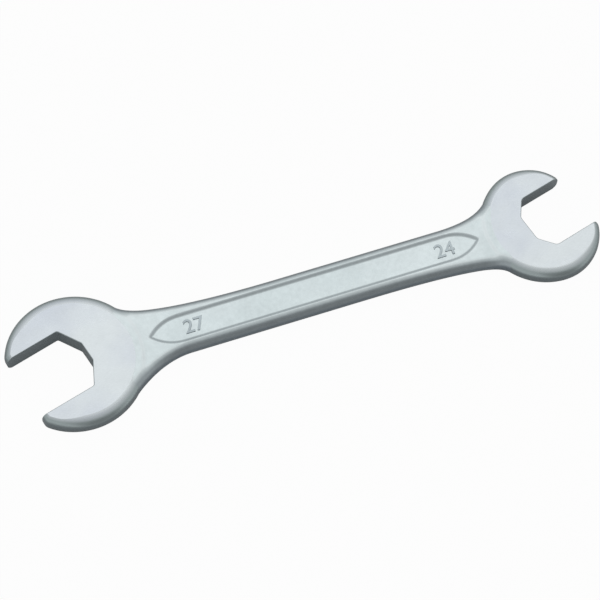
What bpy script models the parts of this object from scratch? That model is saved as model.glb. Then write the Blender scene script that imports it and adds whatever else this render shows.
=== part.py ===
"""A double open end wrench for 27 mm and 24 mm nuts, lying flat.

X runs along the shank from the large head to the small one, Y across it and Z up.
The wrench rests on z = 0, and its origin is the middle of its footprint.
Lengths are in metres.
"""

import math
from dataclasses import dataclass

import bmesh
import bpy
from mathutils import Matrix, Vector

NAME = "open_end_wrench"

# Both heads are flat round discs with a jaw turned out of the shank's line
DISC_SPACING = 0.1954
HEAD_THICKNESS = 0.0086
HEAD_EDGE = 0.0026
JAW_TILT = math.radians(15.0)

# Large head: the jaw's size, its disc, and how far each jaw tip reaches from the disc's middle
LARGE_JAW = 0.0270
LARGE_RADIUS = 0.0280
LARGE_NEAR_REACH = 0.0224
LARGE_FAR_REACH = 0.0215
LARGE_TIP_WALL = 0.0023
LARGE_SPREAD = math.radians(100.0)

# Large head's throat: where the jaw flats end, how deep it is, its flat bottom and its corners
LARGE_FLATS_END = 0.0010
LARGE_THROAT_DEPTH = 0.0063
LARGE_THROAT_FLAT = 0.0083
LARGE_THROAT_ROUND = 0.0011

# Large head's neck: each side leaves the disc at an angle and bends into the shank's edge
LARGE_LONG_ANGLE = math.radians(35.5)
LARGE_LONG_BEND = 0.0349
LARGE_LONG_RUN = 0.0854
LARGE_SHORT_ANGLE = math.radians(42.0)
LARGE_SHORT_BEND = 0.0341
LARGE_SHORT_RUN = 0.0451

# Small head, with the same sizes as the large one
SMALL_JAW = 0.0240
SMALL_RADIUS = 0.0254
SMALL_NEAR_REACH = 0.0156
SMALL_FAR_REACH = 0.0174
SMALL_TIP_WALL = 0.0012
SMALL_SPREAD = math.radians(106.0)
SMALL_FLATS_END = 0.0025
SMALL_THROAT_DEPTH = 0.0076
SMALL_THROAT_FLAT = 0.0110
SMALL_THROAT_ROUND = 0.0024
SMALL_LONG_ANGLE = math.radians(33.6)
SMALL_LONG_BEND = 0.0312
SMALL_LONG_RUN = 0.0777
SMALL_SHORT_ANGLE = math.radians(45.8)
SMALL_SHORT_BEND = 0.0227
SMALL_SHORT_RUN = 0.0426

# Shank
SHANK_WIDTH = 0.0189
SHANK_THICKNESS = 0.0076
SHANK_EDGE = 0.0024

# The panel sunk into each face, which leaves a rounded rim along the shank's edges
PANEL_DEPTH = 0.0010
PANEL_RIM = 0.0004
PANEL_POINT = 0.0110
PANEL_MARGIN = 0.0020

# Raised size numbers on the panels
NUMBER_HEIGHT = 0.0058
NUMBER_RELIEF = 0.0003
LARGE_NUMBER_INSET = 0.0188
SMALL_NUMBER_INSET = 0.0151

# The seam where a head meets the neck, and how far a cut runs past what it cuts
SEAM_GAP = 0.0003
OVERRUN = 0.0050

# The widest rounding that half a thickness takes, the jaw tips' roundness in plan against the edge's,
# and a figure's height against its type size
EDGE_LIMIT_SHARE = 0.9
TIP_ROUND_SHARE = 1.15
FIGURE_SHARE = 0.7

# How finely round shapes are divided
DISC_STEPS = 44
SIDE_STEPS = 9
CORNER_STEPS = 5
NECK_STEPS = 12
SEAM_STEPS = 20
EDGE_SEGMENTS = 4
FIGURE_RESOLUTION = 3
SMOOTH_ANGLE = math.radians(32.0)
MERGE = 0.000001
LEVEL_SHARE = 0.99
MM_PER_M = 1000.0

# Plated steel: linear colour, metallic, roughness
HEAD_FINISH = ((0.62, 0.65, 0.67, 1.0), 1.0, 0.26)
SHANK_FINISH = ((0.56, 0.59, 0.61, 1.0), 1.0, 0.30)

UP = Vector((0.0, 0.0, 1.0))


@dataclass
class Head:
    """One head in its own frame: disc's middle at zero, neck towards +X, its long side at +Y.

    The jaw points away from the neck, tilted towards -Y, so its near tip is the one at -Y.
    """

    jaw: float
    radius: float
    near_reach: float
    far_reach: float
    tip_wall: float
    spread: float
    flats_end: float
    throat_depth: float
    throat_flat: float
    throat_round: float
    long_neck: tuple
    short_neck: tuple
    number_inset: float
    middle: Vector
    turn: float

    @property
    def seam_radius(self):
        """The ground face's own radius, where the rounded edge starts and the neck is met."""
        return self.radius - head_edge()

    def to_wrench(self, point):
        """A point of this head's frame in the wrench's plan."""
        return self.middle + Matrix.Rotation(self.turn, 2) @ point

    def from_jaw(self, along, across):
        """A point given along the jaw's axis, out of the mouth, and across it."""
        return Matrix.Rotation(math.pi + JAW_TILT, 2) @ Vector((along, across))


def head_edge():
    """Rounding of the heads' forged edge, limited by their thickness."""
    return min(HEAD_EDGE, EDGE_LIMIT_SHARE * HEAD_THICKNESS / 2)


def shank_edge():
    """Rounding of the shank's edges, limited by its thickness."""
    return min(SHANK_EDGE, EDGE_LIMIT_SHARE * SHANK_THICKNESS / 2)


def polar(middle, radius, angle):
    return middle + radius * Vector((math.cos(angle), math.sin(angle)))


def arc(middle, radius, start, end, steps):
    """Points along a circle, both ends included."""
    return [polar(middle, radius, start + (end - start) * i / steps) for i in range(steps + 1)]


def angle_of(vector):
    return math.atan2(vector.y, vector.x)


def nearest_turn(angle):
    """The same angle between minus and plus half a turn."""
    return (angle + math.pi) % math.tau - math.pi


def fillet(before, corner, after, radius, steps):
    """A corner rounded by an arc tangent to both of its lines."""
    into = (before - corner).normalized()
    away = (after - corner).normalized()
    half = into.angle(away) / 2
    middle = corner + (into + away).normalized() * radius / math.sin(half)
    start = corner + into * radius / math.tan(half) - middle
    end = corner + away * radius / math.tan(half) - middle
    swing = nearest_turn(angle_of(end) - angle_of(start))
    return arc(middle, radius, angle_of(start), angle_of(start) + swing, steps)


def arc_from_tangent(start, heading, end, steps):
    """An arc that leaves its start along a heading and passes through its end."""
    across = Vector((-heading.y, heading.x))
    reach = end - start
    radius = reach.length_squared / (2 * reach.dot(across))
    middle = start + across * radius
    first = angle_of(start - middle)
    swing = nearest_turn(angle_of(end - middle) - first)
    return arc(middle, abs(radius), first, first + swing, steps)


def bend(start, corner, end, steps):
    """A parabola tangent to both lines of a corner."""
    points = []
    for i in range(steps + 1):
        t = i / steps
        points.append((1 - t) ** 2 * start + 2 * t * (1 - t) * corner + t**2 * end)
    return points


def make_heads():
    """The large head at -X with its frame as it is, and the small one at +X turned half round."""
    large = Head(
        jaw=LARGE_JAW,
        radius=LARGE_RADIUS,
        near_reach=LARGE_NEAR_REACH,
        far_reach=LARGE_FAR_REACH,
        tip_wall=LARGE_TIP_WALL,
        spread=LARGE_SPREAD,
        flats_end=LARGE_FLATS_END,
        throat_depth=LARGE_THROAT_DEPTH,
        throat_flat=LARGE_THROAT_FLAT,
        throat_round=LARGE_THROAT_ROUND,
        long_neck=(LARGE_LONG_ANGLE, LARGE_LONG_BEND, LARGE_LONG_RUN),
        short_neck=(LARGE_SHORT_ANGLE, LARGE_SHORT_BEND, LARGE_SHORT_RUN),
        number_inset=LARGE_NUMBER_INSET,
        middle=Vector((-DISC_SPACING / 2, 0.0)),
        turn=0.0,
    )
    small = Head(
        jaw=SMALL_JAW,
        radius=SMALL_RADIUS,
        near_reach=SMALL_NEAR_REACH,
        far_reach=SMALL_FAR_REACH,
        tip_wall=SMALL_TIP_WALL,
        spread=SMALL_SPREAD,
        flats_end=SMALL_FLATS_END,
        throat_depth=SMALL_THROAT_DEPTH,
        throat_flat=SMALL_THROAT_FLAT,
        throat_round=SMALL_THROAT_ROUND,
        long_neck=(SMALL_LONG_ANGLE, SMALL_LONG_BEND, SMALL_LONG_RUN),
        short_neck=(SMALL_SHORT_ANGLE, SMALL_SHORT_BEND, SMALL_SHORT_RUN),
        number_inset=SMALL_NUMBER_INSET,
        middle=Vector((DISC_SPACING / 2, 0.0)),
        turn=math.pi,
    )
    return large, small


def jaw_side(head, side, reach):
    """A jaw's outer line from the disc to its tip corner; side is 1 or -1 across the jaw."""
    leaves = polar(Vector((0.0, 0.0)), head.radius, side * head.spread)
    heading = Vector((leaves.y, -leaves.x)).normalized() * side
    tip = Vector((reach, side * (head.jaw / 2 + head.tip_wall)))
    return arc_from_tangent(leaves, heading, tip, SIDE_STEPS)


def blank_outline(head):
    """The head as forged, before its mouth is cut: a disc that tapers to two tips."""
    near = jaw_side(head, 1, head.near_reach)
    far = jaw_side(head, -1, head.far_reach)
    rounding = TIP_ROUND_SHARE * head_edge()
    near_tip = fillet(near[-2], near[-1], far[-1], rounding, CORNER_STEPS)
    far_tip = fillet(near[-1], far[-1], far[-2], rounding, CORNER_STEPS)
    back = arc(Vector((0.0, 0.0)), head.radius, head.spread, math.tau - head.spread, DISC_STEPS)
    near_line = [p for p in near[1:-1] if (p - near[-1]).length > (near_tip[0] - near[-1]).length]
    far_line = [p for p in far[1:-1] if (p - far[-1]).length > (far_tip[-1] - far[-1]).length]
    outline = back + far_line + list(reversed(far_tip)) + list(reversed(near_tip))
    outline += list(reversed(near_line))
    return [head.to_wrench(head.from_jaw(p.x, p.y)) for p in outline]


def mouth_outline(head):
    """The jaw's opening: two parallel flats, then a throat like the far half of a hexagon."""
    half = head.jaw / 2
    past = max(head.near_reach, head.far_reach) + OVERRUN
    corners = [
        Vector((past, half)),
        Vector((-head.flats_end, half)),
        Vector((-head.throat_depth, head.throat_flat / 2)),
        Vector((-head.throat_depth, -head.throat_flat / 2)),
        Vector((-head.flats_end, -half)),
        Vector((past, -half)),
    ]
    outline = [corners[0]]
    for before, corner, after in zip(corners, corners[1:], corners[2:]):
        outline += fillet(before, corner, after, head.throat_round, CORNER_STEPS)
    outline.append(corners[-1])
    return [head.to_wrench(head.from_jaw(p.x, p.y)) for p in outline]


def seat_outline(head):
    """What the neck takes out of the head's blank: outside the ground face, between its two sides."""
    middle = Vector((0.0, 0.0))
    start, end = -head.short_neck[0], head.long_neck[0]
    inner = arc(middle, head.seam_radius, start, end, SEAM_STEPS)
    outer = arc(middle, head.radius + OVERRUN, end, start, SEAM_STEPS)
    return [head.to_wrench(p) for p in inner + outer]


def neck_side(head, side):
    """One side of a neck, from inside the disc to the shank's straight edge."""
    angle, corner, run = head.long_neck if side > 0 else head.short_neck
    edge = side * SHANK_WIDTH / 2
    inward = Vector((math.sin(angle), -side * math.cos(angle))) * SEAM_GAP
    root = polar(Vector((0.0, 0.0)), head.seam_radius / 2, side * angle) + inward
    start = polar(Vector((0.0, 0.0)), head.radius, side * angle) + inward
    line = [root] + bend(start, Vector((corner, edge)), Vector((run, edge)), NECK_STEPS)
    return [head.to_wrench(p) for p in line]


def shank_outline(large, small):
    """Both necks and the straight bar between them, with each end still inside its disc."""
    top = neck_side(large, 1) + list(reversed(neck_side(small, -1)))
    bottom = neck_side(small, 1) + list(reversed(neck_side(large, -1)))
    return top + bottom


def panel_outline(large, small, half):
    """A long panel with pointed ends; half is half of its width."""
    left = large.middle.x + large.radius + PANEL_MARGIN
    right = small.middle.x - small.radius - PANEL_MARGIN
    radius = (PANEL_POINT**2 + half**2) / (2 * half)
    swing = math.asin(PANEL_POINT / radius)
    up, down = math.pi / 2, -math.pi / 2
    upper, lower = Vector((0.0, half - radius)), Vector((0.0, radius - half))
    from_right = Vector((right - PANEL_POINT, 0.0))
    from_left = Vector((left + PANEL_POINT, 0.0))
    outline = arc(from_right + lower, radius, down, down + swing, CORNER_STEPS)
    outline += arc(from_right + upper, radius, up - swing, up, CORNER_STEPS)[1:]
    outline += arc(from_left + upper, radius, up, up + swing, CORNER_STEPS)
    outline += arc(from_left + lower, radius, down - swing, down, CORNER_STEPS)[1:]
    return outline


def mesh_from_curve(curve, name, collection, matrix):
    """A curve object made a mesh whose caps are joined to its sides."""
    source = bpy.data.objects.new(name + "_curve", curve)
    collection.objects.link(source)
    source.matrix_world = matrix
    bpy.context.view_layer.update()
    graph = bpy.context.evaluated_depsgraph_get()
    mesh = bpy.data.meshes.new_from_object(source.evaluated_get(graph))
    mesh.name = name
    bm = bmesh.new()
    bm.from_mesh(mesh)
    bmesh.ops.remove_doubles(bm, verts=bm.verts, dist=MERGE)
    bmesh.ops.recalc_face_normals(bm, faces=bm.faces)
    bm.to_mesh(mesh)
    bm.free()
    result = bpy.data.objects.new(name, mesh)
    collection.objects.link(result)
    result.matrix_world = matrix
    bpy.data.objects.remove(source)
    return result


def is_level(face):
    """Whether a face lies flat, as the two faces of a plate do."""
    return abs(face.normal.z) > LEVEL_SHARE


def merge_caps(part):
    """Makes one face of each flat cap, so that its rim can be rounded evenly."""
    bm = bmesh.new()
    bm.from_mesh(part.data)
    inner = [edge for edge in bm.edges if all(is_level(face) for face in edge.link_faces)]
    bmesh.ops.dissolve_edges(bm, edges=inner)
    bm.to_mesh(part.data)
    bm.free()


def plate(name, outline, thickness, height, collection, flare=0.0):
    """A flat outline with a thickness, its middle at a height; flare widens it away from its faces."""
    curve = bpy.data.curves.new(name, "CURVE")
    curve.dimensions = "2D"
    curve.fill_mode = "BOTH"
    curve.extrude = thickness / 2 - flare
    curve.bevel_depth = flare
    curve.bevel_resolution = 0
    spline = curve.splines.new("POLY")
    spline.points.add(len(outline) - 1)
    for point, place in zip(spline.points, outline):
        point.co = (place.x, place.y, 0.0, 1.0)
    spline.use_cyclic_u = True
    part = mesh_from_curve(curve, name, collection, Matrix.Translation(UP * height))
    merge_caps(part)
    return part


def round_edges(part, width, chosen):
    """Rounds the rims of both flat faces where chosen(edge's middle in plan) holds."""
    bm = bmesh.new()
    bm.from_mesh(part.data)
    weights = bm.edges.layers.float.new("bevel_weight_edge")
    for edge in bm.edges:
        rim = sum(is_level(face) for face in edge.link_faces) == 1
        if rim and chosen(sum((v.co for v in edge.verts), Vector()).xy / 2):
            edge[weights] = 1.0
    bm.to_mesh(part.data)
    bm.free()
    bevel = part.modifiers.new("Forged edge", "BEVEL")
    bevel.limit_method = "WEIGHT"
    bevel.width = width
    bevel.segments = EDGE_SEGMENTS
    bevel.use_clamp_overlap = False


def boolean(part, cutter, operation="DIFFERENCE", solver="EXACT"):
    """Cuts or joins another object, which then only guides the shape."""
    step = part.modifiers.new(cutter.name, "BOOLEAN")
    step.operation = operation
    step.object = cutter
    step.solver = solver
    cutter.hide_render = True
    cutter.display_type = "WIRE"


def make_material(name, finish):
    colour, metallic, roughness = finish
    material = bpy.data.materials.new(name)
    material.use_nodes = True
    material.diffuse_color = colour
    shader = material.node_tree.nodes["Principled BSDF"]
    shader.inputs["Base Color"].default_value = colour
    shader.inputs["Metallic"].default_value = metallic
    shader.inputs["Roughness"].default_value = roughness
    return material


def make_head(name, head, parts, cutters):
    """A head: its rounded blank, less its mouth and the seat for the neck."""
    part = plate(name, blank_outline(head), HEAD_THICKNESS, HEAD_THICKNESS / 2, parts)
    round_edges(part, head_edge(), lambda place: True)
    through = HEAD_THICKNESS + 2 * OVERRUN
    mouth = plate(name + "_mouth", mouth_outline(head), through, HEAD_THICKNESS / 2, cutters)
    seat = plate(name + "_seat", seat_outline(head), through, HEAD_THICKNESS / 2, cutters)
    boolean(part, mouth)
    boolean(part, seat)
    part.data.materials.append(make_material(name + "_chrome", HEAD_FINISH))
    return part


def make_number(name, head, inset_from, towards, face, cutters):
    """A head's jaw size in raised figures on one panel; face is 1 for the top, -1 for the underside."""
    text = bpy.data.curves.new(name, "FONT")
    text.body = str(round(head.jaw * MM_PER_M))
    text.size = NUMBER_HEIGHT / FIGURE_SHARE
    text.align_x = "CENTER"
    text.align_y = "CENTER"
    text.resolution_u = FIGURE_RESOLUTION
    text.extrude = NUMBER_RELIEF
    floor = HEAD_THICKNESS / 2 + face * (SHANK_THICKNESS / 2 - PANEL_DEPTH)
    place = Matrix.Translation(Vector((inset_from + towards * head.number_inset, 0.0, floor)))
    turn = Matrix.Rotation(0.0 if face > 0 else math.pi, 4, "X")
    number = mesh_from_curve(text, name, cutters, place @ turn)
    heights = [v.co.y for v in number.data.vertices]
    number.data.transform(Matrix.Translation(Vector((0.0, -(min(heights) + max(heights)) / 2, 0.0))))
    return number


def make_shank(large, small, parts, cutters):
    """The shank: a rounded bar with a neck at each end, two sunk panels and their size numbers."""
    part = plate("shank", shank_outline(large, small), SHANK_THICKNESS, HEAD_THICKNESS / 2, parts)

    def outside(place):
        # The rim is sharp where the bar ends inside a disc
        return all((place - head.middle).length > head.radius - MERGE for head in (large, small))

    round_edges(part, shank_edge(), outside)
    through = HEAD_THICKNESS + 2 * OVERRUN
    for head, name in ((large, "large_disc"), (small, "small_disc")):
        disc = arc(head.middle, head.seam_radius + SEAM_GAP, 0.0, math.tau, 4 * SEAM_STEPS)[:-1]
        boolean(part, plate(name, disc, through, HEAD_THICKNESS / 2, cutters))
    floor_half = SHANK_WIDTH / 2 - shank_edge() - PANEL_RIM - PANEL_DEPTH
    floor_line = panel_outline(large, small, floor_half)
    left, right = min(p.x for p in floor_line), max(p.x for p in floor_line)
    for face, side in ((1, "top"), (-1, "under")):
        height = HEAD_THICKNESS / 2 + face * (SHANK_THICKNESS / 2 + OVERRUN)
        reach = 2 * (PANEL_DEPTH + OVERRUN)
        panel = plate("panel_" + side, floor_line, reach, height, cutters, flare=PANEL_DEPTH)
        boolean(part, panel)
        large_number = make_number("large_number_" + side, large, left, 1, face, cutters)
        small_number = make_number("small_number_" + side, small, right, -1, face, cutters)
        boolean(part, large_number, "UNION", "MANIFOLD")
        boolean(part, small_number, "UNION", "MANIFOLD")
    part.data.materials.append(make_material("shank_chrome", SHANK_FINISH))
    return part


def shade(part):
    part.data.shade_smooth()
    part.data.set_sharp_from_angle(angle=SMOOTH_ANGLE)


def centre_footprint(parts, others):
    """Moves everything so that the middle of the parts' footprint is the origin."""
    bpy.context.view_layer.update()
    graph = bpy.context.evaluated_depsgraph_get()
    places = []
    for part in parts:
        shown = part.evaluated_get(graph)
        mesh = shown.to_mesh()
        places += [part.matrix_world @ v.co for v in mesh.vertices]
        shown.to_mesh_clear()
    x = (min(p.x for p in places) + max(p.x for p in places)) / 2
    y = (min(p.y for p in places) + max(p.y for p in places)) / 2
    for item in parts + others:
        item.location -= Vector((x, y, 0.0))


def make_collection(name):
    collection = bpy.data.collections.new(name)
    bpy.context.scene.collection.children.link(collection)
    return collection


def main():
    for item in list(bpy.data.objects):
        bpy.data.objects.remove(item)
    parts = make_collection(NAME)
    cutters = make_collection(NAME + "_cutters")
    large, small = make_heads()
    made = [
        make_head("large_head", large, parts, cutters),
        make_shank(large, small, parts, cutters),
        make_head("small_head", small, parts, cutters),
    ]
    for part in made:
        shade(part)
    centre_footprint(made, list(cutters.objects))


main()
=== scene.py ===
# %% [markdown]
# # A double open end wrench
# The wrench is one steel forging, plated in satin chrome: a 27 mm jaw, a straight shank with a
# sunk panel on each face, and a 24 mm jaw. It lies flat, as in the photograph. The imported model
# is loaded first, because every piece made here stands in its place, in the same frame.

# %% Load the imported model
import math

import bpy
from mathutils import Matrix, Vector


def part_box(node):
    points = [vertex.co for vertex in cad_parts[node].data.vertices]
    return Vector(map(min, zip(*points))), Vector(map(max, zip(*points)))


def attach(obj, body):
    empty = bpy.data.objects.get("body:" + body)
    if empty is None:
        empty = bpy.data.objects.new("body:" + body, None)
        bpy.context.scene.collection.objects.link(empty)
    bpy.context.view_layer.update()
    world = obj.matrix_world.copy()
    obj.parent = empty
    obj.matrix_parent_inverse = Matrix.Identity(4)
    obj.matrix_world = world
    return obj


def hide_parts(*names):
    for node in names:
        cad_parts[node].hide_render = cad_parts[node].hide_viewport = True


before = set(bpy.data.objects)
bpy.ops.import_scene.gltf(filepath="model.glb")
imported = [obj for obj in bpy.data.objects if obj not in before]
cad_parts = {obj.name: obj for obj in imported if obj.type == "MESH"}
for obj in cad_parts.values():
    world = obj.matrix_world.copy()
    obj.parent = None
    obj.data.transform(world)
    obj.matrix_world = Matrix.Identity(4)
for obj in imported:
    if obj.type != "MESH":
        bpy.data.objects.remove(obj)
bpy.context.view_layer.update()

for name in sorted(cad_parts):
    low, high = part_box(name)
    print(name, "spans", [round(1000 * (b - a), 1) for a, b in zip(low, high)], "mm")

# %% [markdown]
# ## The camera
# The photograph looks down on the wrench from its near side, with a long lens, so that far and
# near sides look almost equally large. The camera stands on a sphere about the wrench, given by
# an azimuth, an elevation and a distance. A small roll and shift set the frame as in the photo.

# %% Camera at the photograph's viewing angle
METRE = 1000.0
MIDDLE = Vector((2.3146, -0.0585, 4.3))
AZIMUTH, ELEVATION, ROLL = (math.radians(a) for a in (-23.295, 64.546, 4.563))
DISTANCE = 990.4
LENS = 151.3
SHIFT = (-0.0208, -0.0126)


def photo_camera():
    """A camera whose axes are worked out from azimuth, elevation and roll."""
    back = Vector(
        (
            math.sin(AZIMUTH) * math.cos(ELEVATION),
            -math.cos(AZIMUTH) * math.cos(ELEVATION),
            math.sin(ELEVATION),
        )
    )
    level = Vector((math.cos(AZIMUTH), math.sin(AZIMUTH), 0.0))
    upright = back.cross(level)
    right = level * math.cos(ROLL) + upright * math.sin(ROLL)
    up = upright * math.cos(ROLL) - level * math.sin(ROLL)
    bpy.ops.object.camera_add(location=(MIDDLE + back * DISTANCE) / METRE)
    camera = bpy.context.object
    camera.name = "photo_camera"
    camera.rotation_euler = Matrix((right, up, back)).transposed().to_euler()
    camera.data.lens = LENS
    camera.data.shift_x, camera.data.shift_y = SHIFT
    camera.data.clip_end = 20.0
    return camera


camera = photo_camera()
bpy.context.scene.camera = camera
print("camera at", [round(v, 3) for v in camera.location], "m")

# %% [markdown]
# ## Drawing an outline
# A forging starts as a flat outline: it can be drawn as a filled circle whose vertices are then
# moved onto the shape. Lengths are in millimetres while a piece is shaped, because Blender's
# tools work best on forms of a few units, and each piece is brought to metres when it is done.
# Each head is drawn in its own frame, with its disc's middle at zero and its neck towards +X.

# %% Sizes of both heads, in millimetres
DISC_SPACING = 195.4
HEAD_HALF = 4.3
SHANK_HALF = 3.8
JAW_TILT = math.radians(15.0)
LARGE = {
    "jaw": 27.0,
    "radius": 28.0,
    "near_reach": 22.4,
    "far_reach": 21.5,
    "tip_wall": 2.3,
    "spread": math.radians(100.0),
    "flats_end": 1.0,
    "throat_depth": 6.3,
    "throat_flat": 8.3,
    "throat_round": 1.1,
    "long_neck": (math.radians(35.5), 34.9, 85.4),
    "short_neck": (math.radians(42.0), 34.1, 45.1),
    "place": Vector((MIDDLE.x - DISC_SPACING / 2, MIDDLE.y)),
    "turn": 0.0,
}
SMALL = {
    "jaw": 24.0,
    "radius": 25.4,
    "near_reach": 15.6,
    "far_reach": 17.4,
    "tip_wall": 1.2,
    "spread": math.radians(106.0),
    "flats_end": 2.5,
    "throat_depth": 7.6,
    "throat_flat": 11.0,
    "throat_round": 2.4,
    "long_neck": (math.radians(33.6), 31.2, 77.7),
    "short_neck": (math.radians(45.8), 22.7, 42.6),
    "place": Vector((MIDDLE.x + DISC_SPACING / 2, MIDDLE.y)),
    "turn": math.pi,
}


def polar(radius, angle, middle=Vector((0.0, 0.0))):
    """The point at a radius and an angle about a middle."""
    return middle + radius * Vector((math.cos(angle), math.sin(angle)))


def arc(middle, radius, start, end, steps):
    """Points along a circle, both ends included."""
    return [polar(radius, start + (end - start) * i / steps, middle) for i in range(steps + 1)]


def angle_of(vector):
    """The angle of a vector from the x axis."""
    return math.atan2(vector.y, vector.x)


def short_way(angle):
    """The same turn, taken the short way round."""
    return (angle + math.pi) % math.tau - math.pi


def rounded(before, corner, after, radius, steps):
    """A corner replaced by an arc that touches both of its lines."""
    into, away = (before - corner).normalized(), (after - corner).normalized()
    half = into.angle(away) / 2
    middle = corner + (into + away).normalized() * radius / math.sin(half)
    start = corner + into * radius / math.tan(half) - middle
    end = corner + away * radius / math.tan(half) - middle
    swing = short_way(angle_of(end) - angle_of(start))
    return arc(middle, radius, angle_of(start), angle_of(start) + swing, steps)


def to_wrench(head, points):
    """Points of a head's frame in the wrench's plan."""
    turn = Matrix.Rotation(head["turn"], 2)
    return [head["place"] + turn @ p for p in points]


def from_jaw(points):
    """Points along and across a jaw's axis, in its head's frame."""
    turn = Matrix.Rotation(math.pi + JAW_TILT, 2)
    return [turn @ p for p in points]


print("jaws of", LARGE["jaw"], "and", SMALL["jaw"], "mm")

# %% [markdown]
# ## The heads' outlines
# Each head is a round disc that tapers to two jaw tips. A side leaves the disc along its
# tangent and bends to the tip, so it is an arc given by a point, a heading and an end.

# %% Outline of a head and of its mouth
TIP_ROUND = 3.0
POINT_GAP = 0.3
DRAFT = 0.1
SIDE_STEPS, TIP_STEPS, BACK_STEPS, CORNER_STEPS = 24, 12, 110, 8
MOUTH_REACH = 30.0


def jaw_side(head, side, reach):
    """A jaw's outer line from the disc to its tip corner, side being 1 or -1 across the jaw."""
    leaves = polar(head["radius"], side * head["spread"])
    heading = Vector((leaves.y, -leaves.x)).normalized() * side
    across = Vector((-heading.y, heading.x))
    tip = Vector((reach, side * (head["jaw"] / 2 + head["tip_wall"])))
    chord = tip - leaves
    radius = chord.length_squared / (2 * chord.dot(across))
    middle = leaves + across * radius
    first = angle_of(leaves - middle)
    swing = short_way(angle_of(tip - middle) - first)
    return arc(middle, abs(radius), first, first + swing, SIDE_STEPS)


def up_to_tip(side, tip_start):
    """The points of a jaw's side that lie clear of its tip's rounding."""
    taken = (tip_start - side[-1]).length + POINT_GAP
    return [p for p in side[1:-1] if (p - side[-1]).length > taken]


def head_outline(head):
    """The head as forged, before its mouth is cut, and the corners of its two jaw tips."""
    near = jaw_side(head, 1, head["near_reach"])
    far = jaw_side(head, -1, head["far_reach"])
    near_tip = rounded(near[-2], near[-1], far[-1], TIP_ROUND, TIP_STEPS)
    far_tip = rounded(near[-1], far[-1], far[-2], TIP_ROUND, TIP_STEPS)
    first, last = head["spread"], math.tau - head["spread"]
    back = arc(Vector((0.0, 0.0)), head["radius"], first, last, BACK_STEPS)
    line = back + up_to_tip(far, far_tip[-1]) + far_tip[::-1]
    line += near_tip[::-1] + up_to_tip(near, near_tip[0])[::-1]
    tips = [near[-1], far[-1]]
    return to_wrench(head, from_jaw(line)), to_wrench(head, from_jaw(tips))


def mouth_outline(head):
    """The mouth: two parallel flats, then a throat like the far half of a hexagon."""
    half, past = head["jaw"] / 2, MOUTH_REACH
    corners = [
        Vector((past, half)),
        Vector((-head["flats_end"], half)),
        Vector((-head["throat_depth"], head["throat_flat"] / 2)),
        Vector((-head["throat_depth"], -head["throat_flat"] / 2)),
        Vector((-head["flats_end"], -half)),
        Vector((past, -half)),
    ]
    line = [corners[0]]
    for before, corner, after in zip(corners, corners[1:], corners[2:]):
        line += rounded(before, corner, after, head["throat_round"], CORNER_STEPS)
    return to_wrench(head, from_jaw(line + [corners[-1]]))


print(len(head_outline(LARGE)[0]), "points go round the large head")

# %% [markdown]
# ## Modelling helpers
# An operator acts on everything that is selected, and the loaded model is selected at first, so
# each step starts by deselecting. A piece is modelled from its middle plane upwards and then
# mirrored, because both faces of the wrench are alike.

# %% Helpers: draw, grow, apply and mirror
MERGE = 0.001
IN_MIDDLE_PLANE = 0.000001


def only(piece):
    """Makes this the one selected and active object."""
    if bpy.context.object and bpy.context.object.mode != "OBJECT":
        bpy.ops.object.mode_set(mode="OBJECT")
    bpy.ops.object.select_all(action="DESELECT")
    piece.select_set(True)
    bpy.context.view_layer.objects.active = piece


def turns_left(line):
    """Whether a closed line runs anticlockwise."""
    return sum(a.x * b.y - a.y * b.x for a, b in zip(line, line[1:] + line[:1])) > 0


def draw(name, line):
    """A filled circle whose vertices are moved onto a closed line in the middle plane."""
    bpy.ops.object.select_all(action="DESELECT")
    bpy.ops.mesh.primitive_circle_add(vertices=len(line), fill_type="NGON")
    piece = bpy.context.object
    piece.name = name
    line = line if turns_left(line) else line[::-1]
    for vertex, place in zip(piece.data.vertices, line):
        vertex.co = (place.x, place.y, 0.0)
    bpy.ops.object.mode_set(mode="EDIT")
    bpy.ops.mesh.select_all(action="SELECT")
    bpy.ops.mesh.normals_make_consistent(inside=False)
    bpy.ops.object.mode_set(mode="OBJECT")
    if piece.data.polygons[0].normal.z < 0:
        piece.data.flip_normals()
    return piece


def grow(name, rings):
    """Draws the first of some (line, height) rings, and extrudes its face to each of the others.

    All lines have the same number of points, and each border vertex moves to the same point of
    the next line.
    """
    piece = draw(name, rings[0][0])
    bpy.ops.object.mode_set(mode="EDIT")
    bpy.ops.mesh.select_mode(type="FACE")
    bpy.ops.mesh.select_all(action="SELECT")
    for (old, _), (new, height) in zip(rings, rings[1:]):
        bpy.ops.mesh.extrude_region_move()
        bpy.ops.object.mode_set(mode="OBJECT")
        for vertex in [v for v in piece.data.vertices if v.select]:
            i = min(range(len(old)), key=lambda i: (old[i] - vertex.co.xy).length)
            vertex.co = (new[i].x, new[i].y, height)
        bpy.ops.object.mode_set(mode="EDIT")
    bpy.ops.object.mode_set(mode="OBJECT")
    return piece


def add_modifier(piece, kind, **settings):
    """Adds a modifier with its settings and applies it."""
    only(piece)
    modifier = piece.modifiers.new(kind.title(), kind)
    for key, value in settings.items():
        setattr(modifier, key, value)
    bpy.ops.object.modifier_apply(modifier=modifier.name)


def volume(piece):
    """The volume of a closed mesh, negative where its faces point inwards."""
    mesh = piece.data
    mesh.calc_loop_triangles()
    corners = ([mesh.vertices[v].co for v in face.vertices] for face in mesh.loop_triangles)
    return sum(a.dot(b.cross(c)) for a, b, c in corners) / 6


def face_outwards(piece):
    """Turns the faces of a closed mesh outwards, and checks it by the volume."""
    only(piece)
    bpy.ops.object.mode_set(mode="EDIT")
    bpy.ops.mesh.select_all(action="SELECT")
    bpy.ops.mesh.normals_make_consistent(inside=False)
    bpy.ops.object.mode_set(mode="OBJECT")
    if volume(piece) < 0:
        piece.data.flip_normals()


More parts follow.
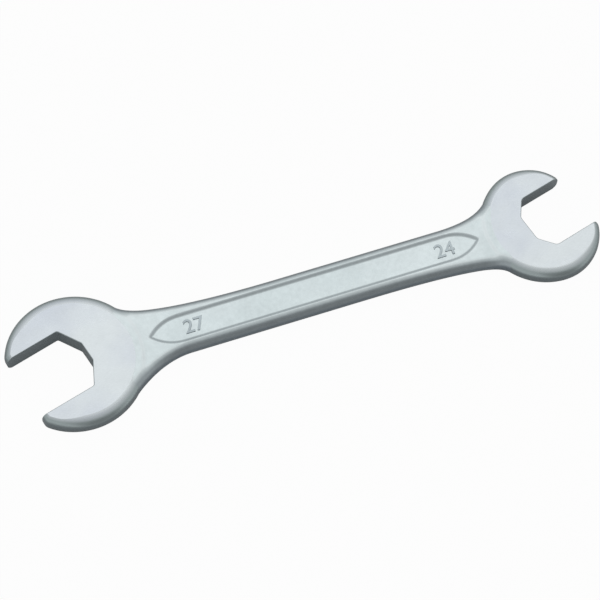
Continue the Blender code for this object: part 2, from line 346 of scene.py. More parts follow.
def mirror_down(piece):
    """Copies the upper half below the middle plane, joins both there and turns all outwards.

    A face that lies in the middle plane would end up inside the piece, so it goes first.
    """
    only(piece)
    bpy.ops.object.mode_set(mode="EDIT")
    bpy.ops.mesh.select_mode(type="FACE")
    bpy.ops.mesh.select_all(action="DESELECT")
    bpy.ops.object.mode_set(mode="OBJECT")
    for face in piece.data.polygons:
        heights = [abs(piece.data.vertices[i].co.z) for i in face.vertices]
        face.select = max(heights) < IN_MIDDLE_PLANE
    bpy.ops.object.mode_set(mode="EDIT")
    bpy.ops.mesh.delete(type="ONLY_FACE")
    bpy.ops.object.mode_set(mode="OBJECT")
    add_modifier(
        piece,
        "MIRROR",
        use_axis=(False, False, True),
        use_mirror_merge=True,
        merge_threshold=MERGE,
    )
    face_outwards(piece)


print("helpers ready")

# %% [markdown]
# ## The jaw heads
# On the real wrench a die leaves the head's rim round, and a belt then grinds both faces flat,
# which leaves a fine line where the flat cuts the rounding. So the profile runs up a slightly
# drafted side and round a quarter of an ellipse, wider than high, and stops a little before it
# lies level. Each step of it is a ring: the head's outline, moved inwards. The jaw tips are
# narrow, and a full step would make the ring cross itself there, so they take a smaller share.
# The mouth is milled last: it is cut with a Boolean, and its cutter flares at the face to break
# the sharp edge. The cutter's faces must point outwards too, or nothing is cut.

# %% Heads
RIM_STEPS = 9
FORGED_HALF = 4.4
FORGED_RIM = (5.4, 3.2)
TIP_SHARE = 0.62
TIP_NEAR, TIP_FADE = 4.0, 14.0
EDGE_BREAK = 0.35
BREAK_TURNS = (84.0, 63.0, 42.0, 21.0, 0.0)
CUT_ABOVE = 2.0
CUT_FLARE = (0.1, 0.04)


def rim_profile():
    """Side and rounded rim of a head, from the middle plane to where the belt cuts the rim."""
    wide, high = FORGED_RIM
    last = math.asin((HEAD_HALF - FORGED_HALF + high) / high)
    profile = [(-DRAFT, 0.0)]
    for i in range(RIM_STEPS + 1):
        angle = last * i / RIM_STEPS
        profile.append((wide * (1 - math.cos(angle)), FORGED_HALF - high + high * math.sin(angle)))
    return profile


def outset(line, distance, shares=None):
    """A closed anticlockwise line moved outwards along its normals, each point by its share."""
    moved = []
    for i, point in enumerate(line):
        along = (line[(i + 1) % len(line)] - line[i - 1]).normalized()
        share = shares[i] if shares else 1.0
        moved.append(point + Vector((along.y, -along.x)) * distance * share)
    return moved


def ramp(value, start, width):
    """0 before the start, 1 past the width, and a soft S between."""
    t = min(1.0, max(0.0, (value - start) / width))
    return t * t * (3 - 2 * t)


def turn_over(tool, top):
    """Turns a cutter that was grown upside down, so that it narrows downwards from its top.

    It is mirrored too, to cut both faces of the wrench.
    """
    only(tool)
    bpy.ops.object.mode_set(mode="EDIT")
    bpy.ops.mesh.select_all(action="SELECT")
    bpy.ops.transform.resize(value=(1.0, 1.0, -1.0), center_override=(0.0, 0.0, 0.0))
    bpy.ops.transform.translate(value=(0.0, 0.0, top))
    bpy.ops.object.mode_set(mode="OBJECT")
    mirror_down(tool)


def mouth_tool(name, line, steps):
    """The mouth's cutter: each step insets its last face and moves it by (inwards, onwards)."""
    tool = draw(name, outset(line, sum(inwards for inwards, _ in steps)))
    bpy.ops.object.mode_set(mode="EDIT")
    bpy.ops.mesh.select_mode(type="FACE")
    bpy.ops.mesh.select_all(action="SELECT")
    for inwards, onwards in steps:
        if inwards > 0:
            bpy.ops.mesh.inset(thickness=inwards, depth=onwards)
        else:
            bpy.ops.mesh.extrude_region_move(TRANSFORM_OT_translate={"value": (0.0, 0.0, onwards)})
    bpy.ops.mesh.delete(type="ONLY_FACE")
    turn_over(tool, sum(onwards for _, onwards in steps))
    return tool


def carve(piece, tool):
    """Takes a cutter's shape out of a piece."""
    add_modifier(piece, "BOOLEAN", object=tool, operation="DIFFERENCE", solver="MANIFOLD")
    bpy.data.objects.remove(tool)


def make_head(name, head):
    """A head, grown ring by ring, mirrored down and cut open by its mouth."""
    line, tips = head_outline(head)
    line = line if turns_left(line) else line[::-1]
    near_tip = [min((point - tip).length for tip in tips) for point in line]
    shares = [TIP_SHARE + (1 - TIP_SHARE) * ramp(d, TIP_NEAR, TIP_FADE) for d in near_tip]
    piece = grow(name, [(outset(line, -inwards, shares), z) for inwards, z in rim_profile()])
    mirror_down(piece)
    mouth = mouth_outline(head)
    mouth = mouth if turns_left(mouth) else mouth[::-1]
    steps = [(0.0, CUT_ABOVE - CUT_FLARE[1]), CUT_FLARE]
    turns = [math.radians(a) for a in BREAK_TURNS]
    for a, b in zip(turns, turns[1:]):
        inwards = EDGE_BREAK * (math.cos(b) - math.cos(a))
        steps.append((inwards, EDGE_BREAK * (math.sin(a) - math.sin(b))))
    steps.append((0.0, HEAD_HALF - EDGE_BREAK))
    carve(piece, mouth_tool(name + "_mouth", mouth, steps))
    print(name, "has", len(piece.data.polygons), "faces")
    return piece


large_head = make_head("large_jaw_head", LARGE)
small_head = make_head("small_jaw_head", SMALL)

# %% [markdown]
# ## The shank's two sides
# A die lets no side meet the disc in a sharp inner corner, so the corner between neck and disc
# is relaxed: each point near it moves towards the middle of its neighbours, many times over.
# The first part of the line lies just inside the disc, so that the neck grows out of the head.

# %% Sides of the shank, from inside one disc to inside the other
SHANK_WIDTH = 18.9
INSIDE = 0.35
HIDDEN_SHARE = 0.52
HIDDEN_STEPS, BEND_STEPS = 24, 60
SPACING = 0.5
RELAX_REACH, RELAX_ROUNDS = 8.0, 40


def evenly(line, spacing):
    """Points at even distances along a line."""
    marks, total = [0.0], 0.0
    for a, b in zip(line, line[1:]):
        total += (b - a).length
        marks.append(total)
    points, k = [], 0
    for i in range(round(total / spacing) + 1):
        at = min(i * spacing, total)
        while k < len(line) - 2 and marks[k + 1] < at:
            k += 1
        share = (at - marks[k]) / max(marks[k + 1] - marks[k], 1e-9)
        points.append(line[k].lerp(line[k + 1], min(1.0, share)))
    return points


def relax(line, corner, reach, rounds):
    """Evens out a line near a corner, less and less up to a reach from it."""
    strength = [max(0.0, 1 - ((p - corner).length / reach) ** 2) for p in line]
    for _ in range(rounds):
        moved = list(line)
        for i in range(1, len(line) - 1):
            moved[i] = line[i].lerp((line[i - 1] + line[i + 1]) / 2, 0.5 * strength[i])
        line = moved
    return line


def neck_line(head, side):
    """One side of a neck in the head's frame, from inside the disc to the shank's edge."""
    angle, corner_x, run = head["long_neck"] if side > 0 else head["short_neck"]
    edge = side * SHANK_WIDTH / 2
    first = math.acos(HIDDEN_SHARE)
    line = []
    for i in range(HIDDEN_STEPS):
        share = i / HIDDEN_STEPS
        at = first + (angle - first) * share
        line.append(polar(head["radius"] - INSIDE * (1 - share) ** 2, side * at))
    start = polar(head["radius"], side * angle)
    corner, end = Vector((corner_x, edge)), Vector((run, edge))
    for i in range(BEND_STEPS + 1):
        t = i / BEND_STEPS
        line.append((1 - t) ** 2 * start + 2 * t * (1 - t) * corner + t**2 * end)
    return relax(evenly(line, SPACING), start, RELAX_REACH, RELAX_ROUNDS)


def shank_side(side):
    """The shank's whole edge at +Y or -Y, from left to right."""
    left = to_wrench(LARGE, neck_line(LARGE, side))
    right = to_wrench(SMALL, neck_line(SMALL, -side))
    return left + right[::-1]


def point_at(line, x):
    """The point at x of a line that runs from left to right."""
    for a, b in zip(line, line[1:]):
        if a.x <= x <= b.x and b.x > a.x:
            return a.lerp(b, (x - a.x) / (b.x - a.x))
    return line[0] if x < line[0].x else line[-1]


upper_side, lower_side = shank_side(1), shank_side(-1)
print("the shank's sides have", len(upper_side), "and", len(lower_side), "points")

# %% [markdown]
# ## The shank
# Its surface is a sheet: a grid primitive whose columns stand across the wrench and whose rows
# follow the two sides, close together on the rounded rims. The sheet is 7.6 mm thick over all
# and swells to the heads' 8.6 mm where it meets them: within 2 mm on the flats, and slowly along
# the rims, as hot steel flows. Mirrored, the two sheets close to a solid bar.

# %% Shank
SHANK_RIM = (3.8, 3.7)
SWELL = 0.47
SWELL_START = 2.4
SWELL_WIDTH, SWELL_RIM_WIDTH, SWELL_RIM_DEPTH = 3.2, 6.0, 2.6
ACROSS = 26
NEARBY = 0.3
FIRST_COLUMN = 0.4
COLUMN_SPANS = [(4.2, 1.0), (9.8, 0.35), (20.0, 0.8), (38.0, 3.0)]
MIDDLE_COLUMNS = 12


def swelling(place, depth):
    """How much of the step up to a head the shank has here, from 0 to 1."""
    amount = 0.0
    for head in (LARGE, SMALL):
        away = (place - head["place"]).length
        width = SWELL_WIDTH + SWELL_RIM_WIDTH * math.exp(-((depth / SWELL_RIM_DEPTH) ** 2))
        amount = max(amount, 1 - ramp(away, head["radius"] - SWELL_START, width))
    return amount


def columns():
    """Where the grid's columns stand: close together where the necks meet the heads."""
    left = [HIDDEN_SHARE * LARGE["radius"] + FIRST_COLUMN]
    right = [HIDDEN_SHARE * SMALL["radius"] + FIRST_COLUMN]
    for side in (left, right):
        for length, step in COLUMN_SPANS:
            side += [side[-1] + step * (i + 1) for i in range(round(length / step))]
    xs = [LARGE["place"].x + x for x in left]
    back = [SMALL["place"].x - x for x in right][::-1]
    gap = back[0] - xs[-1]
    xs += [xs[-1] + gap * i / MIDDLE_COLUMNS for i in range(1, MIDDLE_COLUMNS)]
    return xs + back


def across(x):
    """One column: its places in plan and how deep each lies inside the nearer side."""
    ends = []
    for line, sign in ((lower_side, 1), (upper_side, -1)):
        here = point_at(line, x)
        along = (point_at(line, x + NEARBY) - point_at(line, x - NEARBY)).normalized()
        ends.append((here, Vector((-along.y, along.x)) * sign))
    angles = [math.radians(90.0) * i / RIM_STEPS for i in range(RIM_STEPS + 1)]
    depths = [-DRAFT] + [1 - math.cos(a) for a in angles]
    swell = swelling(ends[0][0], 0.0), swelling(ends[1][0], 0.0)
    rims = []
    for (here, inward), more in zip(ends, swell):
        rim = Vector(SHANK_RIM).lerp(Vector(FORGED_RIM), more)
        reach = [depths[0]] + [rim.x * d for d in depths[1:]]
        rims.append([(here + inward * d, d, rim) for d in reach])
    low, high = rims[0][-1], rims[1][-1]
    column = list(rims[0])
    for i in range(1, ACROSS):
        share = i / ACROSS
        place = low[0].lerp(high[0], share)
        depth = min((place - low[0]).length + low[1], (place - high[0]).length + high[1])
        column.append((place, depth, low[2].lerp(high[2], share)))
    return column + rims[1][::-1]


def surface(place, depth, rim):
    """The shank's height over its middle plane."""
    if depth < 0:
        return 0.0
    top = SHANK_HALF + SWELL * swelling(place, depth)
    if depth >= rim.x:
        return top
    return top - rim.y * (1 - math.sqrt(1 - (1 - depth / rim.x) ** 2))


def make_shank():
    """The shank as a bar, before its panels are cut."""
    xs = columns()
    rows = len(across(0.0))
    bpy.ops.object.select_all(action="DESELECT")
    bpy.ops.mesh.primitive_grid_add(x_subdivisions=len(xs) - 1, y_subdivisions=rows - 1, size=2.0)
    piece = bpy.context.object
    piece.name = "shank_forging"
    table = [across(x) for x in xs]
    for vertex in piece.data.vertices:
        i = round((vertex.co.x + 1) / 2 * (len(xs) - 1))
        j = round((vertex.co.y + 1) / 2 * (rows - 1))
        place, depth, rim = table[i][j]
        vertex.co = (place.x, place.y, surface(place, depth, rim))
    close_ends(piece, xs[0], xs[-1])
    mirror_down(piece)
    return piece


def close_ends(piece, left, right):
    """Extrudes the sheet's two end edges down to the middle plane, inside the heads."""
    only(piece)
    bpy.ops.object.mode_set(mode="EDIT")
    bpy.ops.mesh.select_mode(type="EDGE")
    bpy.ops.mesh.select_all(action="DESELECT")
    bpy.ops.object.mode_set(mode="OBJECT")
    middle = (left + right) / 2
    counts = [0] * len(piece.data.edges)
    for face in piece.data.polygons:
        for loop in face.loop_indices:
            counts[piece.data.loops[loop].edge_index] += 1
    for edge in piece.data.edges:
        a, b = (piece.data.vertices[v].co for v in edge.vertices)
        edge.select = counts[edge.index] == 1 and max(a.z, b.z) > MERGE
    bpy.ops.object.mode_set(mode="EDIT")
    bpy.ops.mesh.extrude_region_move()
    bpy.ops.transform.resize(value=(1.0, 1.0, 0.0), center_override=(middle, 0.0, 0.0))
    bpy.ops.mesh.select_all(action="SELECT")
    bpy.ops.mesh.remove_doubles(threshold=MERGE / 2)
    bpy.ops.mesh.normals_make_consistent(inside=False)
    bpy.ops.object.mode_set(mode="OBJECT")


shank = make_shank()
print("the shank has", len(shank.data.polygons), "faces")

# %% [markdown]
# ## The sunk panels
# A long panel with pointed ends is pressed into each face, to save weight and to give grip. Its
# wall is an S in section: a die has no sharp corner anywhere. So the cutter is drawn at its
# widest, and its face is extruded step by step down that S, each time onto a narrower line that
# is worked out anew. Insets would be shorter, but at a point as sharp as this their lines cross.
# A Boolean then takes the cutter out of both faces at once.

# %% Panels
PANEL_DEPTH = 0.7
PANEL_HALF = 4.5
PANEL_POINT = 11.0
PANEL_WALL = 1.9
PANEL_STEPS, PANEL_ARC_STEPS = 8, 16
PANEL_LIP = 0.03
PANEL_MARGIN = 4.5
PANEL_LEFT = LARGE["place"].x + LARGE["radius"] + PANEL_MARGIN
PANEL_RIGHT = SMALL["place"].x - SMALL["radius"] - PANEL_MARGIN
PANEL_FLOOR = SHANK_HALF - PANEL_DEPTH


def panel_outline(wider):
    """The panel's floor line, or one outside it. Each of its ends is two arcs that cross."""
    radius = (PANEL_POINT**2 + PANEL_HALF**2) / (2 * PANEL_HALF)
    drop = Vector((0.0, radius - PANEL_HALF))
    swing = math.acos(drop.y / (radius + wider))
    up = math.pi / 2
    right = Vector((PANEL_RIGHT - PANEL_POINT, MIDDLE.y))
    left = Vector((PANEL_LEFT + PANEL_POINT, MIDDLE.y))
    line = arc(right + drop, radius + wider, -up, swing - up, PANEL_ARC_STEPS)
    line += arc(right - drop, radius + wider, up - swing, up, PANEL_ARC_STEPS)[1:]
    line += arc(left - drop, radius + wider, up, up + swing, PANEL_ARC_STEPS)
    line += arc(left + drop, radius + wider, -up - swing, -up, PANEL_ARC_STEPS)[1:]
    return line


def panel_tool():
    """The panels' cutter, grown upside down from its widest line to the panel's floor.

    Its wall passes the shank's face by a little, so that no two faces of the cut coincide.
    """
    heights = [PANEL_DEPTH * ramp(i / PANEL_STEPS, 0.0, 1.0) for i in range(PANEL_STEPS + 1)]
    heights[-1] += PANEL_LIP
    rings = [(panel_outline(PANEL_WALL), 0.0)]
    for i in range(PANEL_STEPS, -1, -1):
        line = panel_outline(PANEL_WALL * i / PANEL_STEPS)
        rings.append((line, CUT_ABOVE + heights[-1] - heights[i]))
    tool = grow("panel_tool", rings)
    turn_over(tool, PANEL_FLOOR + rings[-1][1])
    return tool


carve(shank, panel_tool())
print("with its panels the shank has", len(shank.data.polygons), "faces")

# %% [markdown]
# ## The size numbers
# Each jaw's size stands in raised figures on the panel's floor, near its own head, on both faces.
# They are made from a text object: extruded, given a small bevel and turned into a mesh, whose
# vertices are then put in place. On the underside they are turned over, to be read from there.

# %% Size numbers
NUMBER_HEIGHT = 5.8
NUMBER_RELIEF = 0.3
NUMBER_BEVEL = 0.1
NUMBER_THINNED = -0.02
FIGURE_SHARE = 0.7
LARGE_NUMBER, SMALL_NUMBER = PANEL_LEFT + 16.3, PANEL_RIGHT - 12.6


def make_number(size, x, face):
    """A size in raised figures at x on one panel; face is 1 for the top, -1 for the underside."""
    bpy.ops.object.select_all(action="DESELECT")
    bpy.ops.object.text_add()
    text = bpy.context.object
    text.name = f"size_number_{size}_" + ("top" if face > 0 else "under")
    text.data.body = str(size)
    text.data.size = NUMBER_HEIGHT / FIGURE_SHARE
    text.data.align_x = "CENTER"
    text.data.resolution_u = 8
    text.data.offset = NUMBER_THINNED
    text.data.extrude = NUMBER_RELIEF - NUMBER_BEVEL
    text.data.bevel_depth = NUMBER_BEVEL
    text.data.bevel_resolution = 2
    bpy.ops.object.convert(target="MESH")
    number = bpy.context.object
    heights = [v.co.y for v in number.data.vertices]
    middle = (min(heights) + max(heights)) / 2
    turn = Matrix.Rotation(0.0 if face > 0 else math.pi, 4, "X")
    place = Matrix.Translation((x, MIDDLE.y, face * PANEL_FLOOR))
    number.data.transform(place @ turn @ Matrix.Translation((0.0, -middle, 0.0)))
    bpy.ops.object.mode_set(mode="EDIT")
    bpy.ops.mesh.select_all(action="SELECT")
    bpy.ops.mesh.remove_doubles(threshold=MERGE)
    bpy.ops.mesh.normals_make_consistent(inside=False)
    bpy.ops.object.mode_set(mode="OBJECT")
    return number


numbers = []
for face in (1, -1):
    numbers.append(make_number(27, LARGE_NUMBER, face))
    numbers.append(make_number(24, SMALL_NUMBER, face))
print("numbers:", [n.name for n in numbers])

# %% [markdown]
# ## Bringing the pieces to metres
# Each piece is scaled to metres and lifted so that the heads rest on the floor, and both are
# applied, which leaves the object at the origin and its place in the mesh. Smooth shading up to
# an angle keeps the ground edges crisp, and weighted normals keep large flats looking flat.

# %% Finish the meshes
SMOOTH_UP_TO = math.radians(30.0)
LEVEL_NORMAL = 0.9999
LEVEL_GAP = 1e-6


def mark_ground_faces(piece):
    """Marks the border of each level face at the heads' full height as a crisp edge."""
    level = [HEAD_HALF / METRE * (1 + side) for side in (-1, 1)]
    for face in piece.data.polygons:
        away = min(abs(face.center.z - z) for z in level)
        face.select = abs(face.normal.z) > LEVEL_NORMAL and away < LEVEL_GAP
    if not any(face.select for face in piece.data.polygons):
        return
    bpy.ops.object.mode_set(mode="EDIT")
    bpy.ops.mesh.select_mode(type="FACE")
    bpy.ops.mesh.region_to_loop()
    bpy.ops.mesh.mark_sharp()
    bpy.ops.object.mode_set(mode="OBJECT")


def finish_mesh(piece):
    """Brings a piece to metres and to its place, and shades it."""
    only(piece)
    piece.scale = (1 / METRE, 1 / METRE, 1 / METRE)
    piece.location = (0.0, 0.0, HEAD_HALF / METRE)
    bpy.ops.object.transform_apply(location=True, rotation=False, scale=True)
    bpy.ops.object.shade_smooth_by_angle(angle=SMOOTH_UP_TO, keep_sharp_edges=False)
    mark_ground_faces(piece)
    add_modifier(piece, "WEIGHTED_NORMAL", mode="FACE_AREA", weight=50, keep_sharp=True)


for piece in [large_head, shank, small_head] + numbers:
    finish_mesh(piece)
    print(piece.name, [round(METRE * v, 1) for v in piece.dimensions], "mm")

# %% [markdown]
# ## Materials
# The wrench is chrome vanadium steel under satin chrome plate. Ways of preparing the steel show
# through the thin plate. The shank is as forged and blasted, so it has a soft, slightly uneven
# sheen. The heads' faces are ground on a belt, so they are smoother and carry fine lines. Rims
# and walls, which no belt reaches, are painted greyer the steeper they stand: partly the duller
# forged skin of the rims, and partly painted shade, darkest on the upright walls. The edges of
# both faces are rubbed brighter by handling. The surface's own normal tells these apart, so one
# recipe serves all the finishes and only its values change.

# %% Colours and nodes
def linear(code):
    """An sRGB hex colour as Blender's linear values."""
    values = [int(code[i : i + 2], 16) / 255 for i in (1, 3, 5)]
    return [v / 12.92 if v <= 0.04045 else ((v + 0.055) / 1.055) ** 2.4 for v in values] + [1.0]


def add_node(tree, kind, settings=None, links=None):
    """Adds a node, sets its properties and inputs, and links outputs to its inputs."""
    node = tree.nodes.new(kind)
    for key, value in (settings or {}).items():
        if isinstance(key, str) and hasattr(node, key):
            setattr(node, key, value)
        else:
            node.inputs[key].default_value = value
    for key, output in (links or {}).items():
        tree.links.new(output, node.inputs[key])
    return node


def ramp_node(tree, value, stops):
    """A colour ramp with (position, colour) stops."""
    node = add_node(tree, "ShaderNodeValToRGB", links={"Fac": value})
    elements = node.color_ramp.elements
    while len(elements) < len(stops):
        elements.new(0.5)
    for element, (position, colour) in zip(elements, stops):
        element.position = position
        element.color = colour
    return node.outputs["Color"]


def grey(value):
    """An even grey in linear values."""
    return [value, value, value, 1.0]


def new_material(name):
    """A material with an empty metal shader."""
    material = bpy.data.materials.new(name)
    material.use_nodes = True
    tree = material.node_tree
    tree.nodes.clear()
    output = add_node(tree, "ShaderNodeOutputMaterial")
    shader = add_node(tree, "ShaderNodeBsdfPrincipled", {"Metallic": 1.0})
    tree.links.new(shader.outputs[0], output.inputs["Surface"])
    return material, tree, shader


CLOUD_MM, PATCH_MM = 34.0, 9.0
LEVEL_BAND = (0.84, 0.99)
SLOPE_SHADE_BAND = (0.25, 0.60)
CREST_BAND = (0.965, 0.978, 0.984, 0.992)
CREST_SHARE = 0.5
OUTER_BAND = (3.3, 3.6)
POLISHED_SHARE = 0.8


def satin_chrome(name, tints, skin, side, edge, rough, grain_mm, grain_stretch, grain_height):
    """Satin chrome plate over ground or forged steel, with shade painted onto its steeper slopes.

    tints are the plate's two tones on the level faces; skin its darker tone on rims that no belt
    has reached, partly the rims' duller forged finish and partly painted shade; side its still
    darker tone on upright walls, which is painted shade; and edge its tone where handling has
    polished it.
    rough is the brightest and the dullest roughness, and the grain is what the steel's surface was
    left with.
    """
    material, tree, shader = new_material(name)
    place = add_node(tree, "ShaderNodeTexCoord").outputs["Object"]
    cloud = add_node(
        tree,
        "ShaderNodeTexNoise",
        {"Scale": METRE / CLOUD_MM, "Detail": 3.0, "Roughness": 0.55},
        {"Vector": place},
    ).outputs["Fac"]
    plate = ramp_node(tree, cloud, [(0.38, linear(tints[0])), (0.62, linear(tints[1]))])
    stretched = add_node(
        tree, "ShaderNodeMapping", {"Scale": grain_stretch}, {"Vector": place}
    ).outputs["Vector"]
    grain = add_node(
        tree,
        "ShaderNodeTexNoise",
        {"Scale": METRE / grain_mm, "Detail": 4.0, "Roughness": 0.6},
        {"Vector": stretched},
    ).outputs["Fac"]
    shade = ramp_node(tree, grain, [(0.35, grey(0.93)), (0.65, grey(1.0))])
    geometry = add_node(tree, "ShaderNodeNewGeometry").outputs
    upright = add_node(tree, "ShaderNodeSeparateXYZ", links={0: geometry["Normal"]}).outputs["Z"]
    facing = add_node(tree, "ShaderNodeMath", {"operation": "ABSOLUTE"}, {0: upright}).outputs[0]
    # Painted shade: the level faces keep the plate's tints, and the steeper a rim or wall stands
    # the darker it is painted, from the skin tone down to the side tone on upright walls.
    level = ramp_node(tree, facing, [(LEVEL_BAND[0], grey(0.0)), (LEVEL_BAND[1], grey(1.0))])
    forged = ramp_node(tree, facing, list(zip(SLOPE_SHADE_BAND, (linear(side), linear(skin)))))
    finish_and_slope_shade = add_node(
        tree, "ShaderNodeMix", {"data_type": "RGBA"}, {0: level, 6: forged, 7: plate}
    ).outputs[2]
    toned = add_node(
        tree,
        "ShaderNodeMix",
        {"data_type": "RGBA", "blend_type": "MULTIPLY", 0: 1.0},
        {6: finish_and_slope_shade, 7: shade},
    ).outputs[2]
    # Handling rubs the crests between face and rim, but not the slopes down in the panel.
    shares = (0.0, CREST_SHARE, CREST_SHARE, 0.0)
    crest = ramp_node(tree, facing, [(at, grey(v)) for at, v in zip(CREST_BAND, shares)])
    height = add_node(tree, "ShaderNodeSeparateXYZ", links={0: place}).outputs["Z"]
    above = add_node(
        tree, "ShaderNodeMath", {"operation": "SUBTRACT", 1: HEAD_HALF / METRE}, {0: height}
    ).outputs[0]
    away = add_node(tree, "ShaderNodeMath", {"operation": "ABSOLUTE"}, {0: above}).outputs[0]
    outer = add_node(
        tree,
        "ShaderNodeMapRange",
        {"From Min": OUTER_BAND[0] / METRE, "From Max": OUTER_BAND[1] / METRE},
        {"Value": away},
    ).outputs["Result"]
    worn = add_node(
        tree, "ShaderNodeMath", {"operation": "MULTIPLY"}, {0: crest, 1: outer}
    ).outputs[0]
    coloured = add_node(
        tree,
        "ShaderNodeMix",
        {"data_type": "RGBA", 7: linear(edge)},
        {0: worn, 6: toned},
    ).outputs[2]
    patches = add_node(
        tree,
        "ShaderNodeTexNoise",
        {"Scale": METRE / PATCH_MM, "Detail": 5.0, "Roughness": 0.6},
        {"Vector": place},
    ).outputs["Fac"]
    dull = ramp_node(tree, patches, [(0.3, grey(rough[0])), (0.7, grey(rough[1]))])
    polished = add_node(
        tree,
        "ShaderNodeMix",
        {"data_type": "FLOAT", 3: rough[0] * POLISHED_SHARE},
        {0: worn, 2: dull},
    ).outputs[0]
    bump = add_node(
        tree,
        "ShaderNodeBump",
        {"Strength": 0.6, "Distance": grain_height / METRE},
        {"Height": grain},
    ).outputs["Normal"]
    tree.links.new(coloured, shader.inputs["Base Color"])
    tree.links.new(polished, shader.inputs["Roughness"])
    tree.links.new(bump, shader.inputs["Normal"])
    return material


# In each finish, skin and side are darker tones painted onto the steeper rims and walls as shade.
# The heads: pale, cool and even, with fine belt lines along the wrench.
ground_plate = satin_chrome(
    "ground_satin_chrome",
    tints=("#CDD4DC", "#D8DFE2"),
    skin="#B0BCBD",
    side="#98A3A7",
    edge="#DCE3E5",
    rough=(0.26, 0.34),
    grain_mm=1.4,
    grain_stretch=(1.0, 7.0, 1.0),
    grain_height=0.02,
)
# The shank: slightly greener and duller, and softly grained all over by the blasting.
forged_plate = satin_chrome(
    "forged_satin_chrome",
    tints=("#D1DCDE", "#D8E2E4"),
    skin="#AFB9BD",
    side="#96A1A9",
    edge="#DAE1E3",
    rough=(0.30, 0.40),
    grain_mm=1.8,
    grain_stretch=(1.0, 1.0, 1.0),
    grain_height=0.04,
)
# The figures: darker and more matt than the shank.
figure_plate = satin_chrome(
    "figure_satin_chrome",
    tints=("#B4BFC4", "#BDC8CC"),
    skin="#8E989D",
    side="#7C868C",
    edge="#C4CED1",
    rough=(0.40, 0.48),
    grain_mm=0.9,
    grain_stretch=(1.0, 1.0, 1.0),
    grain_height=0.03,
)
print("materials:", ground_plate.name, forged_plate.name, figure_plate.name)

# %% [markdown]
# ## Riding and replacing
# Each piece is parented to the body it moves with and takes its finish. The heads and the shank
# stand in for nodes of the imported model, which are hidden.

# %% Assign finishes and bodies, and hide the replaced nodes
for piece, node, plate, slot in (
    (large_head, "large_head", ground_plate, "ground_chrome"),
    (shank, "shank", forged_plate, "satin_chrome"),
    (small_head, "small_head", ground_plate, "ground_chrome"),
):
    piece.data.materials.clear()
    piece.data.materials.append(plate)
    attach(piece, "root")
    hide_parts(node)
for number in numbers:
    number.data.materials.clear()
    number.data.materials.append(figure_plate)
    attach(number, "root")

# %% [markdown]
# ## The white background
# The photograph is a cut-out on white, so floor and world are white to the camera, whatever they
# are to the light. Metal shows what stands round it, so glossy and transmitted rays take a
# little of that white as well. The walls at the wrench's foot stay dark, as in the photograph,
# because most of what they mirror is the shaded floor.

# %% What sees the white background
SEEN_WHITE = 0.97
MIRRORED_WHITE = 0.08


def white_share(tree):
    """How much of the white background a ray takes, worked out from the kind of ray."""
    path = add_node(tree, "ShaderNodeLightPath").outputs
    mirrored = add_node(
        tree,
        "ShaderNodeMath",
        {"operation": "MAXIMUM"},
        {0: path["Is Glossy Ray"], 1: path["Is Transmission Ray"]},
    ).outputs[0]
    part = add_node(
        tree, "ShaderNodeMath", {"operation": "MULTIPLY", 1: MIRRORED_WHITE}, {0: mirrored}
    ).outputs[0]
    return add_node(
        tree,
        "ShaderNodeMath",
        {"operation": "MULTIPLY_ADD", 1: SEEN_WHITE},
        {0: path["Is Camera Ray"], 2: part},
    ).outputs[0]


# %% [markdown]
# ## The floor
# The floor is plain pale grey to the light, and white to the camera apart from a little of the
# wrench's own shadow.

# %% Floor
FLOOR_SIZE = 8.0
FLOOR_GREY = 0.5


def make_floor():
    """A plain pale floor that is white to the camera."""
    bpy.ops.object.select_all(action="DESELECT")
    bpy.ops.mesh.primitive_plane_add(size=FLOOR_SIZE, location=(0.0, 0.0, 0.0))
    floor = bpy.context.object
    floor.name = "studio_floor"
    material = bpy.data.materials.new("pale_floor")
    material.use_nodes = True
    tree = material.node_tree
    tree.nodes.clear()
    output = add_node(tree, "ShaderNodeOutputMaterial")
    matt = add_node(tree, "ShaderNodeBsdfDiffuse", {"Color": grey(FLOOR_GREY)})
    white = add_node(tree, "ShaderNodeEmission", {"Color": grey(1.0), "Strength": 1.0})
    mix = add_node(
        tree,
        "ShaderNodeMixShader",
        links={0: white_share(tree), 1: matt.outputs[0], 2: white.outputs[0]},
    )
    tree.links.new(mix.outputs[0], output.inputs["Surface"])
    floor.data.materials.append(material)
    return floor


floor = make_floor()

# %% [markdown]
# ## The world
# The world is a studio: a soft bright sky all round, brightest behind and above the wrench, with
# a dark flag low on the near side. Where the near rims are steep they mirror the flag, which
# draws the dark lower edge that the photograph shows. Above it they still mirror the sky, and
# the wrench stays bright from behind and from the sides.

# %% World, with its bright middle and its dark flag
SKY_AXIS = Vector((0.13, 0.52, 0.84)).normalized()
SKY_STOPS = ((0.20, 0.70), (0.50, 0.62), (0.84, 0.62), (0.97, 0.88))
FLAG_NEAR, FLAG_FADED = -0.75, -0.45
FLAG_MIDDLE = 0.20
FLAG_HALF, FLAG_HALF_FADED = 0.26, 0.50
FLAG_LEFT_OVER = 0.36


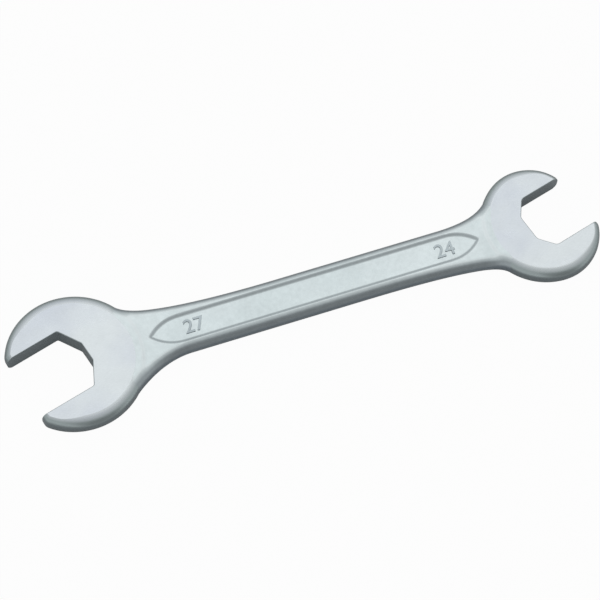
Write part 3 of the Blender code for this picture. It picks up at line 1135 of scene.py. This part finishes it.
def make_world():
    """The soft sky with its flag, white to the camera."""
    world = bpy.data.worlds.new("soft_studio")
    bpy.context.scene.world = world
    world.use_nodes = True
    tree = world.node_tree
    tree.nodes.clear()
    output = add_node(tree, "ShaderNodeOutputWorld")
    way = add_node(tree, "ShaderNodeTexCoord").outputs["Generated"]
    facing = add_node(
        tree, "ShaderNodeVectorMath", {"operation": "DOT_PRODUCT", 1: SKY_AXIS}, {0: way}
    ).outputs["Value"]
    share = add_node(
        tree,
        "ShaderNodeMapRange",
        {"From Min": -1.0, "From Max": 1.0},
        {"Value": facing},
    ).outputs["Result"]
    sky = ramp_node(tree, share, [(at, grey(v)) for at, v in SKY_STOPS])
    parts = add_node(tree, "ShaderNodeSeparateXYZ", links={0: way}).outputs
    aside = add_node(
        tree, "ShaderNodeMath", {"operation": "SUBTRACT", 1: FLAG_MIDDLE}, {0: parts["X"]}
    ).outputs[0]
    aside = add_node(tree, "ShaderNodeMath", {"operation": "ABSOLUTE"}, {0: aside}).outputs[0]
    beside = add_node(
        tree,
        "ShaderNodeMapRange",
        {"From Min": FLAG_HALF, "From Max": FLAG_HALF_FADED},
        {"Value": aside},
    ).outputs["Result"]
    beyond = add_node(
        tree,
        "ShaderNodeMapRange",
        {"From Min": FLAG_NEAR, "From Max": FLAG_FADED},
        {"Value": parts["Y"]},
    ).outputs["Result"]
    clear = add_node(
        tree, "ShaderNodeMath", {"operation": "MAXIMUM"}, {0: beside, 1: beyond}
    ).outputs[0]
    strength = add_node(
        tree, "ShaderNodeMapRange", {"To Min": FLAG_LEFT_OVER, "To Max": 1.0}, {"Value": clear}
    ).outputs["Result"]
    studio = add_node(tree, "ShaderNodeBackground", links={"Color": sky, "Strength": strength})
    white = add_node(tree, "ShaderNodeBackground", {"Color": grey(1.0), "Strength": 1.0})
    mix = add_node(
        tree,
        "ShaderNodeMixShader",
        links={0: white_share(tree), 1: studio.outputs[0], 2: white.outputs[0]},
    )
    tree.links.new(mix.outputs[0], output.inputs["Surface"])
    return world


make_world()

# %% [markdown]
# ## The lamp
# The sky gives most of the light. One large soft lamp, above and behind the wrench, adds a
# little from one direction.

# %% Lamp
LAMP_PLACE = (0.25, 0.75, 1.6)
LAMP_SIZE = 1.1
LAMP_POWER = 0.9


def make_softbox():
    """A large soft lamp above and behind the wrench, turned to its middle."""
    bpy.ops.object.light_add(type="AREA", location=LAMP_PLACE)
    lamp = bpy.context.object
    lamp.name = "softbox"
    lamp.data.shape = "SQUARE"
    lamp.data.size = LAMP_SIZE
    lamp.data.energy = LAMP_POWER
    aim = (MIDDLE / METRE - lamp.location).to_track_quat("-Z", "Y")
    lamp.rotation_euler = aim.to_euler()
    return lamp


softbox = make_softbox()
bpy.context.scene.view_settings.view_transform = "Standard"
print("lamp of", softbox.data.energy, "W")
